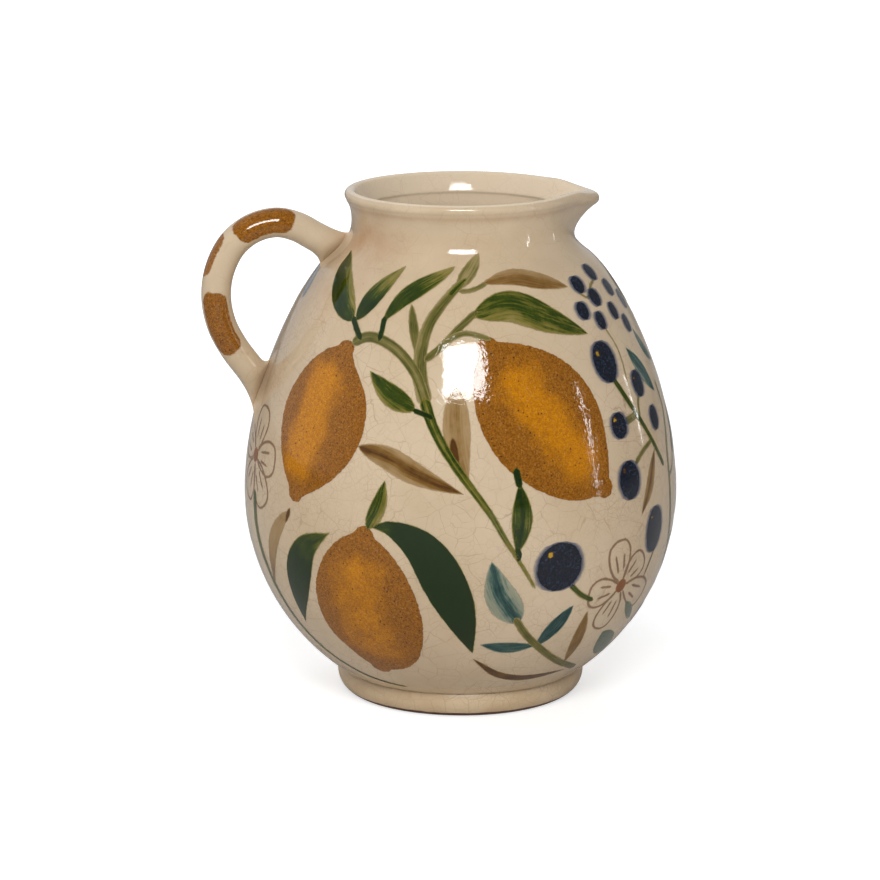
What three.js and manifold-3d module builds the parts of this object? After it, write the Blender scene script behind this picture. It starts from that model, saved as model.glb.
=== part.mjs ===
// A glazed stoneware pitcher: a round body on a turned foot ring, a neck with a rolled rim and a
// pinched pouring spout, and a looped handle joined on through two smoothed clay roots.
// Millimetres, +Z up. The spout points along +X and the handle along -X.
import * as THREE from "three";
import { mergeVertices } from "three/addons/utils/BufferGeometryUtils.js";
import Module from "manifold-3d";

// ---- Driving dimensions --------------------------------------------------------------------

const facets = 56; // flats around the pot
const rootClearance = 0.39; // space left between a root and the curved wall it is smoothed on to
const weldTolerance = 1e-4; // corners closer than this become one before a solid is cut

// Body, as radius and height
const bellyRadius = 102.2;
const bellyHeight = 97;
const lowerBellyDepth = 103.2; // half height of the ellipse that the lower belly follows
const wall = 6;
const floorTop = 19;
const floorUnderside = 9;
const floorUndersideRadius = 40;
const shoulderEnd = [61, 209];
const shoulderBend = [[bellyRadius, 147], [74, 199]]; // the two points that the shoulder's curve leans to
const neckSeamHeight = 212;
const neckSeamOuter = 57.3;
const neckSeamInner = 49.2;

// Body's inside
const innerBellyRadius = bellyRadius - wall;
const innerBellyDepth = 98;
const innerShoulderStart = [57, 203.3];
const innerThroatBend = [[50.5, 208.6], [53.3, 206.3]];
const innerShoulderBend = [[69, 193.5], [innerBellyRadius, 143]];
const floorBendHeight = 26; // where the inner wall leaves the ellipse and turns into the floor
const floorBend = [[60.5, 20.9], [54, floorTop]];
const floorEdgeRadius = 44;

// Foot ring
const footHeight = 12;
const footInnerRadius = 42;
const footTopRadius = 57.4;
const bodySeatRadius = 58.2;
const footRestOuter = 52.5;
const footRestInner = 45;
const footBend = [[58.2, 0.8], [60, 9.5]];
const footHollow = [43.5, 1.5]; // top of the slant inside the resting edge

// Neck and rim
const neckRadius = 51;
const beadRadius = 2.7;
const beadCentre = [51.4, 237.2];
const neckBend = [[54, 215], [neckRadius, 219]];
const neckNarrowHeight = 225.5;
const neckFlare = [[51.4, 230], [52.3, 233]];
const innerLedge = [[47.9, 232.5], [47.3, 230.2], [48.2, 229.2]];
const innerNeckBend = [[46.6, 224], [45.4, 217]];

// Spout: the rim's circle drawn out along its two tangents to a rounded tip
const spoutReach = 19;
const innerSpoutShare = 0.57; // the inside is drawn out less than the outside
const spoutRootHeight = 214;
const spoutGrowth = 1.15; // how late the pull sets in on the way up
const spoutTipRounding = THREE.MathUtils.degToRad(6.3);
const spoutDroop = 3.8; // how far the tip hangs below the level of the rim
const droopHalfAngle = THREE.MathUtils.degToRad(24);

// Handle: centreline as distance from the pot's axis and height, and its oval section
const handleThickness = 13.8;
const handleWidth = 15.4;
const handleSides = 16;
const handleSteps = 24;
const handleLine = [
  [69, 219.4],
  [77, 223.9],
  [86.5, 226.2],
  [97.5, 223.8],
  [107, 216.6],
  [113.2, 204.8],
  [115, 192],
  [112.6, 179],
  [106.8, 167.6],
  [100.5, 158.8],
];
const handleReach = Math.max(...handleLine.map(([distance]) => distance)) + handleThickness / 2;

// Handle roots: the oval on the wall that each one spreads out to
const upperRoot = { top: 219, bottom: 201.5, halfWidth: 11 };
const lowerRoot = { top: 165, bottom: 133, halfWidth: 11.5 };
const rootSteps = [0, 0.3, 0.55, 0.78, 1];
const rootSink = 2; // how far a root is built into the wall before it is cut back
const rootCore = 8; // depth of the middle of its inner end
const rootStride = 0.25; // step of the search for the wall

// The pot's axis stands beside the origin, so that the origin is under the middle of the whole
const potAxisX = (handleReach - bellyRadius) / 2;

// ---- Curves and profiles, as [radius, height] ----------------------------------------------

// Points along a cubic Bezier curve, without its first point
function curvePoints(start, control1, control2, end, count) {
  const ends = [start, control1, control2, end].map((point) => new THREE.Vector2(...point));
  const curve = new THREE.CubicBezierCurve(...ends);
  return curve.getPoints(count).slice(1).map((point) => [point.x, point.y]);
}

// Points on an ellipse about the belly's height, from one height to another
function bellyArc(radius, depth, fromHeight, toHeight, count) {
  const points = [];
  const fromAngle = Math.asin((fromHeight - bellyHeight) / depth);
  const toAngle = Math.asin((toHeight - bellyHeight) / depth);
  for (let step = 0; step <= count; step += 1) {
    const angle = THREE.MathUtils.lerp(fromAngle, toAngle, step / count);
    points.push([radius * Math.cos(angle), bellyHeight + depth * Math.sin(angle)]);
  }
  return points;
}

function bodyOuterLine() {
  const lower = bellyArc(bellyRadius, lowerBellyDepth, footHeight, bellyHeight, 9);
  const shoulder = curvePoints([bellyRadius, bellyHeight], ...shoulderBend, shoulderEnd, 9);
  return [[bodySeatRadius, footHeight], ...lower.slice(1), ...shoulder, [neckSeamOuter, neckSeamHeight]];
}

function bodyInnerLine() {
  const seam = [neckSeamInner, neckSeamHeight];
  const widest = [innerBellyRadius, bellyHeight];
  const throat = curvePoints(seam, ...innerThroatBend, innerShoulderStart, 3);
  const shoulder = curvePoints(innerShoulderStart, ...innerShoulderBend, widest, 8);
  const lower = bellyArc(innerBellyRadius, innerBellyDepth, bellyHeight, floorBendHeight, 7).slice(1);
  const bend = curvePoints(lower[lower.length - 1], ...floorBend, [floorEdgeRadius, floorTop], 3);
  return [seam, ...throat, ...shoulder, ...lower, ...bend];
}

function neckOuterLine() {
  const start = [neckSeamOuter, neckSeamHeight];
  const throat = curvePoints(start, ...neckBend, [neckRadius, neckNarrowHeight], 4);
  return [start, ...throat, ...neckFlare];
}

function rimBead() {
  const points = [];
  for (let degrees = -45; degrees <= 180; degrees += 37.5) {
    const angle = THREE.MathUtils.degToRad(degrees);
    points.push([
      beadCentre[0] + beadRadius * Math.cos(angle),
      beadCentre[1] + beadRadius * Math.sin(angle),
    ]);
  }
  return points;
}

// The inside of the neck, down from the bead: a small ledge under the rim, then the throat
function neckInnerLine() {
  const ledgeEnd = innerLedge[innerLedge.length - 1];
  const throat = curvePoints(ledgeEnd, ...innerNeckBend, [neckSeamInner, neckSeamHeight], 4);
  return [...innerLedge, ...throat];
}

// ---- Spout ---------------------------------------------------------------------------------

// Radius at an angle from the spout, for a level whose circle is drawn out to a tip
function drawnOutRadius(radius, pull, angle) {
  const tangentAngle = Math.acos(radius / (radius + pull));
  const roundedAngle = Math.hypot(angle, spoutTipRounding);
  return roundedAngle < tangentAngle ? radius / Math.cos(tangentAngle - roundedAngle) : radius;
}

function spoutPoint([radius, height], angle, share) {
  const rise = Math.max(0, (height - spoutRootHeight) / (beadCentre[1] - spoutRootHeight));
  const pull = share * spoutReach * rise ** spoutGrowth;
  const nearness = Math.max(0, 1 - (angle / droopHalfAngle) ** 2);
  const droop = share * spoutDroop * nearness ** 2 * Math.min(1, rise);
  return { radius: drawnOutRadius(radius, pull, angle), height: height - droop };
}

// ---- Solids --------------------------------------------------------------------------------

function revolved(line) {
  const profile = line.map(([radius, height]) => new THREE.Vector2(radius, height));
  return new THREE.LatheGeometry(profile, facets).rotateX(Math.PI / 2);
}

// A mesh from vertices and triangles, where every ring has the same number of points
function meshFrom(points, triangles) {
  const geometry = new THREE.BufferGeometry();
  const coordinates = points.flatMap((point) => point.toArray());
  geometry.setAttribute("position", new THREE.Float32BufferAttribute(coordinates, 3));
  geometry.setIndex(triangles);
  geometry.computeVertexNormals();
  return geometry;
}

function ringWalls(ringCount, perRing, closed) {
  const triangles = [];
  const spans = closed ? ringCount : ringCount - 1;
  for (let ring = 0; ring < spans; ring += 1) {
    const next = (ring + 1) % ringCount;
    for (let side = 0; side < perRing; side += 1) {
      const across = (side + 1) % perRing;
      const a = ring * perRing + side;
      const b = ring * perRing + across;
      const c = next * perRing + across;
      const d = next * perRing + side;
      triangles.push(a, b, c, a, c, d);
    }
  }
  return triangles;
}

// The neck: one closed section for each angle around the pot
function neckGeometry() {
  const outer = neckOuterLine();
  const bead = rimBead();
  const inner = neckInnerLine();
  const section = [
    ...outer.map((point) => ({ point, share: 1 })),
    ...bead.map((point, index) => ({
      point,
      share: THREE.MathUtils.lerp(1, innerSpoutShare, index / (bead.length - 1)),
    })),
    ...inner.map((point) => ({ point, share: innerSpoutShare })),
  ];
  const points = [];
  for (let step = 0; step < facets; step += 1) {
    const angle = (step / facets) * 2 * Math.PI;
    const fromSpout = angle > Math.PI ? angle - 2 * Math.PI : angle;
    for (const { point, share } of section) {
      const { radius, height } = spoutPoint(point, fromSpout, share);
      points.push(new THREE.Vector3(radius * Math.cos(angle), radius * Math.sin(angle), height));
    }
  }
  return meshFrom(points, ringWalls(facets, section.length, true).reverse());
}

// ---- Handle --------------------------------------------------------------------------------

const handleCurve = new THREE.CatmullRomCurve3(
  handleLine.map(([distance, height]) => new THREE.Vector3(-distance, 0, height)),
);

function handleOutline() {
  return new THREE.Shape(
    new THREE.EllipseCurve(0, 0, handleWidth / 2, handleThickness / 2).getPoints(handleSides).slice(0, -1),
  );
}

function handleGeometry() {
  return new THREE.ExtrudeGeometry(handleOutline(), {
    steps: handleSteps,
    extrudePath: handleCurve,
    bevelEnabled: false,
  });
}

// The handle's section at one of its ends, as points in space
function handleEndRing(centre, towardsWall) {
  const sideways = new THREE.Vector3(0, 1, 0);
  const inPlane = new THREE.Vector3().crossVectors(towardsWall, sideways);
  return handleOutline().getPoints().map((point) => centre.clone()
    .addScaledVector(sideways, point.x)
    .addScaledVector(inPlane, point.y));
}

const wallLine = [...bodyOuterLine(), ...neckOuterLine().slice(1)];

// Radius of the pot's outside at a height
function wallRadius(height) {
  for (let index = 1; index < wallLine.length; index += 1) {
    const [lowRadius, lowHeight] = wallLine[index - 1];
    const [highRadius, highHeight] = wallLine[index];
    if (height <= highHeight) {
      const share = (height - lowHeight) / (highHeight - lowHeight);
      return THREE.MathUtils.lerp(lowRadius, highRadius, share);
    }
  }
  return neckRadius;
}

// Where a straight line from the handle's end first meets the wall
function meetWall(start, direction) {
  const point = start.clone();
  while (Math.hypot(point.x, point.y) > wallRadius(point.z)) {
    point.addScaledVector(direction, rootStride);
  }
  return point;
}

// A point on the wall's handle side, at a height and a distance from the middle plane
function wallPoint(height, sideways, depth) {
  const radius = wallRadius(height) - depth;
  return new THREE.Vector3(-Math.sqrt(radius ** 2 - sideways ** 2), sideways, height);
}

// A root: rings that carry the handle's section on in its own direction, then out along the wall
function rootGeometry(position, spread) {
  const towardsWall = handleCurve.getTangentAt(position).multiplyScalar(position === 0 ? -1 : 1);
  const handleCentre = handleCurve.getPointAt(position);
  const section = handleEndRing(handleCentre, towardsWall);
  const middleHeight = (spread.top + spread.bottom) / 2;
  const halfHeight = (spread.top - spread.bottom) / 2;
  const up = new THREE.Vector3().crossVectors(new THREE.Vector3(0, 1, 0), towardsWall);
  const upSign = Math.sign(up.z);
  const points = [];
  for (const along of rootSteps) {
    for (const start of section) {
      const offset = start.clone().sub(handleCentre);
      const across = offset.y / (handleWidth / 2);
      const rise = (upSign * offset.dot(up)) / (handleThickness / 2);
      const corner = meetWall(start, towardsWall);
      const landing = wallPoint(middleHeight + halfHeight * rise, spread.halfWidth * across, rootSink);
      points.push(new THREE.QuadraticBezierCurve3(start, corner, landing).getPoint(along));
    }
  }
  const sides = section.length;
  const outerCap = points.length;
  points.push(handleCentre.clone());
  points.push(wallPoint(middleHeight, 0, rootCore));
  const triangles = ringWalls(rootSteps.length, sides, false);
  const lastRing = (rootSteps.length - 1) * sides;
  for (let side = 0; side < sides; side += 1) {
    const across = (side + 1) % sides;
    triangles.push(across, side, outerCap);
    triangles.push(lastRing + side, lastRing + across, outerCap + 1);
  }
  return meshFrom(points, triangles);
}

// ---- Cutting -------------------------------------------------------------------------------

const wasm = await Module();
wasm.setup();

function toManifold(geometry) {
  const bare = geometry.clone();
  bare.deleteAttribute("normal");
  bare.deleteAttribute("uv");
  const merged = mergeVertices(bare, weldTolerance);
  return new wasm.Manifold(new wasm.Mesh({
    numProp: 3,
    vertProperties: new Float32Array(merged.attributes.position.array),
    triVerts: new Uint32Array(merged.index.array),
  }));
}

function toGeometry(solid) {
  const mesh = solid.getMesh();
  const geometry = new THREE.BufferGeometry();
  geometry.setAttribute("position", new THREE.BufferAttribute(mesh.vertProperties, 3));
  geometry.setIndex(new THREE.BufferAttribute(mesh.triVerts, 1));
  geometry.computeVertexNormals();
  return geometry;
}

// The pot's outside as one solid, a little fatter than the wall, to cut the roots back to
function wallCutter() {
  const line = wallLine.map(([radius, height]) => [radius + rootClearance, height]);
  const topHeight = wallLine[wallLine.length - 1][1];
  return toManifold(revolved([[0, footHeight], ...line, [0, topHeight]]));
}

const cutter = wallCutter();

function cutRoot(position, spread) {
  return toGeometry(toManifold(rootGeometry(position, spread)).subtract(cutter));
}

// ---- Assembly ------------------------------------------------------------------------------

const creamGlaze = new THREE.MeshStandardMaterial({ color: 0xd9c9b2, roughness: 0.22, metalness: 0 });
const footGlaze = new THREE.MeshStandardMaterial({ color: 0xc9b294, roughness: 0.4, metalness: 0 });

const pot = new THREE.Group();
pot.position.x = potAxisX;

function addPiece(name, geometry, material) {
  const mesh = new THREE.Mesh(geometry, material);
  mesh.name = name;
  pot.add(mesh);
}

addPiece("body", revolved([
  [0, floorUnderside],
  [floorUndersideRadius, floorUnderside],
  [footInnerRadius, footHeight],
  ...bodyOuterLine(),
  ...bodyInnerLine(),
  [0, floorTop],
]), creamGlaze);

addPiece("foot_ring", revolved([
  [footInnerRadius, footHeight],
  footHollow,
  [footRestInner, 0],
  [footRestOuter, 0],
  ...curvePoints([footRestOuter, 0], ...footBend, [footTopRadius, footHeight], 7),
  [footInnerRadius, footHeight],
]), footGlaze);

addPiece("neck_and_spout", neckGeometry(), creamGlaze);
addPiece("handle_loop", handleGeometry(), creamGlaze);
addPiece("upper_handle_root", cutRoot(0, upperRoot), creamGlaze);
addPiece("lower_handle_root", cutRoot(1, lowerRoot), creamGlaze);

const pitcher = new THREE.Group();
pitcher.add(pot);

export default pitcher;
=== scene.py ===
"""The looks of a hand-painted stoneware pitcher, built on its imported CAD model.

Lengths in this script are millimetres and angles are degrees, but meshes, shaders, lights and the
camera are made in metres. A place on the pot is an angle and a height: angle 0 faces -Y, the
painted front, 90 is the spout (+X) and -90 is the handle (-X).
"""
import math

import bpy
import numpy as np
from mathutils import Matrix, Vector


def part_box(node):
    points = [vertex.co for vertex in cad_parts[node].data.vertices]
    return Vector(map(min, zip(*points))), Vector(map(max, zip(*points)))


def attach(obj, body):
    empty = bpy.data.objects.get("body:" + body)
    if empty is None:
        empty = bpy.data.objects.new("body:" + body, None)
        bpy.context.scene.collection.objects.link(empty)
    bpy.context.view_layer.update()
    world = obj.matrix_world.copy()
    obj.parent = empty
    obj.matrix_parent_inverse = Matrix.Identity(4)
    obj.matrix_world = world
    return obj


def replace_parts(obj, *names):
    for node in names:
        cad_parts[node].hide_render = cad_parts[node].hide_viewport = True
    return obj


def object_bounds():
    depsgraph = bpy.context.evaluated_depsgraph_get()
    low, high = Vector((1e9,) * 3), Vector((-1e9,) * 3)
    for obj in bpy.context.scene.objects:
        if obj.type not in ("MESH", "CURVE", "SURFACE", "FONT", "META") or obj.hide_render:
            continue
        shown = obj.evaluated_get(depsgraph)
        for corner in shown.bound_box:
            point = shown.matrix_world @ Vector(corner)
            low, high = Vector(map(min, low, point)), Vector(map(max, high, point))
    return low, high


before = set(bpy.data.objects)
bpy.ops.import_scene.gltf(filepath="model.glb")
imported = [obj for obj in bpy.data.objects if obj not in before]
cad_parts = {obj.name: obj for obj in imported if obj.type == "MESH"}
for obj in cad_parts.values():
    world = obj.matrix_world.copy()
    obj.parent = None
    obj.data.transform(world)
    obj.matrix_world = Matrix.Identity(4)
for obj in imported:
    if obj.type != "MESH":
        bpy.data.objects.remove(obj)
cad_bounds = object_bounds()

MM = 0.001
body_low, body_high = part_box("body")
AXIS_X = (body_low.x + body_high.x) / 2 / MM
POT_HEIGHT = cad_bounds[1].z / MM

# ---- The pot's design sizes, the same as the CAD's: points are (radius, height) ----

BELLY_RADIUS = 102.2
BELLY_HEIGHT = 97
LOWER_BELLY_DEPTH = 103.2
FOOT_TOP = 12
SEAM_HEIGHT = 212
INNER_RADIUS = 96.2
FLOOR_TOP = 19
FLOOR_UNDERSIDE = 9
BEAD_RADIUS = 2.7
BEAD_CENTRE = (51.4, 237.2)

SPOUT_REACH = 19
INNER_SPOUT_SHARE = 0.57
SPOUT_ROOT_HEIGHT = 214
SPOUT_GROWTH = 1.15
SPOUT_TIP_ROUNDING = 6.3
SPOUT_DROOP = 3.8
DROOP_HALF_ANGLE = 24

HANDLE_THICKNESS = 13.8
HANDLE_WIDTH = 15.4
HANDLE_LINE = [  # distance from the pot's axis, height
    (69, 219.4), (77, 223.9), (86.5, 226.2), (97.5, 223.8), (107, 216.6),
    (113.2, 204.8), (115, 192), (112.6, 179), (106.8, 167.6), (100.5, 158.8),
]
UPPER_ROOT = {"top": 222, "bottom": 200.5, "half_width": 14}
LOWER_ROOT = {"top": 169, "bottom": 129, "half_width": 16}

POT_COLUMNS = 288
INNER_PAINTED_LIGHT = -0.55  # painted light: the inside's cream is coloured paler, standing in for light
UNDERSIDE_POOLING = 0.2
GLAZE_DEPTH = 0.05  # how far a root's edge is let into the glaze of the wall


# ---- Curves ----

def bezier(start, control1, control2, end, count):
    """Points of a cubic Bezier curve without its first point."""
    t = np.linspace(0, 1, count + 1)[1:, None]
    ends = [np.array(point, float) for point in (start, control1, control2, end)]
    return ((1 - t) ** 3 * ends[0] + 3 * (1 - t) ** 2 * t * ends[1]
            + 3 * (1 - t) * t ** 2 * ends[2] + t ** 3 * ends[3])


def belly_arc(radius, depth, from_height, to_height, count):
    low, high = (math.asin((height - BELLY_HEIGHT) / depth) for height in (from_height, to_height))
    angles = np.linspace(low, high, count + 1)
    return np.stack([radius * np.cos(angles), BELLY_HEIGHT + depth * np.sin(angles)], 1)


def smooth_path(points, per_span):
    """A Catmull-Rom curve through points of any dimension, spaced by the distance between them."""
    points = np.array(points, float)
    padded = np.vstack([2 * points[0] - points[1], points, 2 * points[-1] - points[-2]])
    knots = np.concatenate([[0], np.cumsum(np.linalg.norm(np.diff(padded, axis=0), axis=1) ** 0.5)])
    path = [points[0]]
    for span in range(1, len(padded) - 2):
        p, k = padded[span - 1:span + 3], knots[span - 1:span + 3]
        for t in np.linspace(k[1], k[2], per_span + 1)[1:]:
            near = [((k[i + 1] - t) * p[i] + (t - k[i]) * p[i + 1]) / (k[i + 1] - k[i])
                    for i in range(3)]
            mid = [((k[i + 2] - t) * near[i] + (t - k[i]) * near[i + 1]) / (k[i + 2] - k[i])
                   for i in range(2)]
            path.append(((k[2] - t) * mid[0] + (t - k[1]) * mid[1]) / (k[2] - k[1]))
    return np.array(path)


# ---- The pot's surface ----

outer_wall = np.vstack([
    belly_arc(BELLY_RADIUS, LOWER_BELLY_DEPTH, FOOT_TOP, BELLY_HEIGHT, 52),
    bezier((BELLY_RADIUS, BELLY_HEIGHT), (BELLY_RADIUS, 147), (74, 199), (61, 209), 56),
    bezier((61, 209), (59.7, 210), (58.4, 211), (57.3, SEAM_HEIGHT), 3),
])
neck_wall = np.vstack([
    outer_wall[-1:],
    bezier((57.3, SEAM_HEIGHT), (54, 215), (51, 219), (51, 225.5), 16),
    bezier((51, 225.5), (51, 229), (51.6, 232.3), (53.2, 234.5), 10),
])
inner_neck = np.vstack([
    bezier((49.06, 238.55), (47.8, 236.15), (46.64, 233.6), (45.7, 231.2), 8),
    bezier((45.7, 231.2), (45.62, 230.5), (45.98, 230.3), (46.0, 229.5), 4),
    bezier((46.0, 229.5), (45.4, 224), (45, 217), (49.2, SEAM_HEIGHT), 12),
])
inner_wall = np.vstack([
    inner_neck[-1:],
    bezier((49.2, SEAM_HEIGHT), (50.5, 208.6), (53.3, 206.3), (57, 203.3), 6),
    bezier((57, 203.3), (69, 193.5), (INNER_RADIUS, 143), (INNER_RADIUS, BELLY_HEIGHT), 28),
    belly_arc(INNER_RADIUS, 98, BELLY_HEIGHT, 26, 22)[1:],
    bezier((66.3, 26), (60.5, 20.9), (54, FLOOR_TOP), (44, FLOOR_TOP), 8),
    [(radius, FLOOR_TOP) for radius in (36, 27, 18, 9, 0.5)],
])


def rim_bead():
    angles = np.radians(np.linspace(-42, 150, 22))
    return np.stack([BEAD_CENTRE[0] + BEAD_RADIUS * np.cos(angles),
                     BEAD_CENTRE[1] + BEAD_RADIUS * np.sin(angles)], 1)


paintable_wall = np.vstack([outer_wall, neck_wall[1:]])
wall_heights = paintable_wall[:, 1]
wall_lengths = np.concatenate([[0], np.cumsum(np.hypot(*np.diff(paintable_wall, axis=0).T))])


def wall_radius(height):
    return np.interp(height, wall_heights, paintable_wall[:, 0])


def length_at(height):
    """Distance along the wall, up from the foot, at a height."""
    return np.interp(height, wall_heights, wall_lengths)


def height_at(length):
    return np.interp(length, wall_lengths, wall_heights)


def hand_thrown(angle, height):
    """The slight waviness of a wall shaped by hand."""
    turn = np.radians(angle)
    return 0.18 * np.sin(2 * turn + height / 60) + 0.1 * np.sin(5 * turn - height / 35)


def place(radius, angle, height):
    """Points in space, in millimetres, from polar places about the pot's axis."""
    turn = np.radians(angle)
    return np.stack(np.broadcast_arrays(AXIS_X + radius * np.sin(turn), -radius * np.cos(turn), height), -1)


def spout_shift(radius, height, share, angle):
    """Radius and height after the spout is drawn out of the rim at angle 90."""
    from_spout = np.radians((angle - 90 + 180) % 360 - 180)
    rise = np.maximum(0, (height - SPOUT_ROOT_HEIGHT) / (BEAD_CENTRE[1] - SPOUT_ROOT_HEIGHT))
    pull = share * SPOUT_REACH * rise ** SPOUT_GROWTH
    tangent = np.arccos(np.clip(radius / (radius + pull), -1, 1))
    rounded = np.hypot(from_spout, math.radians(SPOUT_TIP_ROUNDING))
    drawn = np.where(rounded < tangent, radius / np.cos(tangent - rounded), radius)
    nearness = np.maximum(0, 1 - (from_spout / math.radians(DROOP_HALF_ANGLE)) ** 2)
    return drawn, height - share * SPOUT_DROOP * nearness ** 2 * np.minimum(1, rise)


def pot_grid(line, shares):
    """Points around the pot from a profile; shares say how much of the spout each row takes."""
    angles = np.arange(POT_COLUMNS) * 360 / POT_COLUMNS - 180
    radius, height = line[:, :1], line[:, 1:]
    drawn, lowered = spout_shift(radius, height, np.asarray(shares)[:, None], angles[None, :])
    fade = np.clip(radius / 20, 0, 1)
    return place(drawn + fade * hand_thrown(angles[None, :], height), angles[None, :], lowered)


def grid_normals(points):
    """Unit normals of a grid whose columns go right round, from its neighbouring rows and columns."""
    down_rows = np.gradient(points, axis=0)
    along = np.roll(points, -1, axis=1) - np.roll(points, 1, axis=1)
    normals = np.cross(along, down_rows)
    return normals / np.maximum(np.linalg.norm(normals, axis=-1, keepdims=True), 1e-12)


# ---- Mesh building ----

def grid_faces(rows, columns, first, closed_columns):
    """Quads of a grid whose points are numbered row by row from first."""
    across = columns if closed_columns else columns - 1
    row, column = np.meshgrid(np.arange(rows - 1), np.arange(across), indexing="ij")
    following = (column + 1) % columns
    corners = [row * columns + column, row * columns + following,
               (row + 1) * columns + following, (row + 1) * columns + column]
    return first + np.stack(corners, -1).reshape(-1, 4)


def winds_outwards(patch):
    """True if a grid's quads, as grid_faces makes them, face the same way as its normals."""
    points = patch["points"]
    along, down = points[:-1, 1:] - points[:-1, :-1], points[1:, :-1] - points[:-1, :-1]
    return (np.cross(along, down) * patch["normals"][:-1, :-1]).sum() > 0


def new_object(name, data):
    made = bpy.data.objects.new(name, data)
    bpy.context.scene.collection.objects.link(made)
    return made


def make_piece(name, patches, material):
    """One mesh object from patches: dicts with grids of points, normals and named values."""
    faces = []
    first = 0
    for patch in patches:
        rows, columns = patch["points"].shape[:2]
        quads = grid_faces(rows, columns, first, patch.get("closed", False))
        faces.append(quads if winds_outwards(patch) else quads[:, ::-1])
        first += rows * columns
    points = np.vstack([patch["points"].reshape(-1, 3) for patch in patches])
    normals = np.vstack([patch["normals"].reshape(-1, 3) for patch in patches])
    mesh = bpy.data.meshes.new(name)
    mesh.from_pydata((points * MM).tolist(), [], np.vstack(faces).tolist())
    mesh.shade_smooth()
    mesh.normals_split_custom_set_from_vertices(normals.tolist())
    for key in patches[0]["values"]:
        attribute = mesh.attributes.new(key, "FLOAT", "POINT")
        spread = [np.broadcast_to(patch["values"][key], patch["points"].shape[:2]) for patch in patches]
        flat = np.concatenate([values.ravel() for values in spread])
        attribute.data.foreach_set("value", flat.astype(np.float32))
    mesh.materials.append(material)
    piece = new_object(name, mesh)
    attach(piece, "root")
    return piece


# ---- Shader building ----

def tone(red, green, blue):
    """A colour as seen on a screen, 0 to 255, as the linear colour that a shader takes."""
    linear = [((c / 255 + 0.055) / 1.055) ** 2.4 if c > 10 else c / 3294.6 for c in (red, green, blue)]
    return (*linear, 1)


def add(tree, kind, inputs, **settings):
    """A shader node. An input's value is a number, a colour, or another node's output to link."""
    made = tree.nodes.new("ShaderNode" + kind)
    for key, value in settings.items():
        setattr(made, key, value)
    for key, value in inputs.items():
        if isinstance(value, bpy.types.NodeSocket):
            tree.links.new(value, made.inputs[key])
        else:
            made.inputs[key].default_value = value
    return made


def maths(tree, operation, first, second):
    return add(tree, "Math", {0: first, 1: second}, operation=operation).outputs[0]


def plus(tree, first, second):
    return maths(tree, "ADD", first, second)


def times(tree, first, second):
    return maths(tree, "MULTIPLY", first, second)


def noise(tree, where, scale, detail=2.0, roughness=0.5):
    inputs = {"Vector": where, "Scale": scale, "Detail": detail, "Roughness": roughness}
    return add(tree, "TexNoise", inputs).outputs["Fac"]


def swing(tree, value, amount, middle=0.5):
    """How far a value is from its middle, times an amount."""
    return times(tree, maths(tree, "SUBTRACT", value, middle), amount)


def ranged(tree, value, low, high, to_low=0.0, to_high=1.0):
    """Maps a value smoothly from one range to another, and holds it there outside."""
    inputs = {"Value": value, "From Min": low, "From Max": high, "To Min": to_low, "To Max": to_high}
    return add(tree, "MapRange", inputs, interpolation_type="SMOOTHSTEP").outputs[0]


def blend(tree, factor, first, second):
    return add(tree, "Mix", {0: factor, 6: first, 7: second}, data_type="RGBA").outputs[2]


def ramp(tree, value, stops):
    made = add(tree, "ValToRGB", {0: value})
    points = made.color_ramp.elements
    while len(points) < len(stops):
        points.new(1)
    for point, (position, colour) in zip(points, stops):
        point.position = position
        point.color = colour
    return made.outputs[0]


def painted_value(tree, name):
    return add(tree, "Attribute", {}, attribute_name=name).outputs["Fac"]


def crackle(tree, where, cell, width, seed):
    """Fine cracks between irregular cells: 1 on a crack and 0 inside a cell. Sizes in metres."""
    shifted = add(tree, "VectorMath", {0: where, 1: (seed, seed * 0.7, seed * 1.3)}).outputs[0]
    wander = add(tree, "TexNoise", {"Vector": shifted, "Scale": 0.7 / cell, "Detail": 3.0})
    pulled = add(tree, "VectorMath", {0: wander.outputs["Color"], "Scale": cell * 0.5},
                 operation="SCALE").outputs[0]
    warped = add(tree, "VectorMath", {0: shifted, 1: pulled}).outputs[0]
    edge = add(tree, "TexVoronoi", {"Vector": warped, "Scale": 1 / cell},
               feature="DISTANCE_TO_EDGE").outputs["Distance"]
    return ranged(tree, edge, 0, width / cell, 1, 0)


def object_place(tree):
    """Places in the row's frame. Every piece's object is at the origin, so all share them."""
    return add(tree, "TexCoord", {}).outputs["Object"]


CRACK_COLOUR = tone(132, 96, 70)


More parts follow.
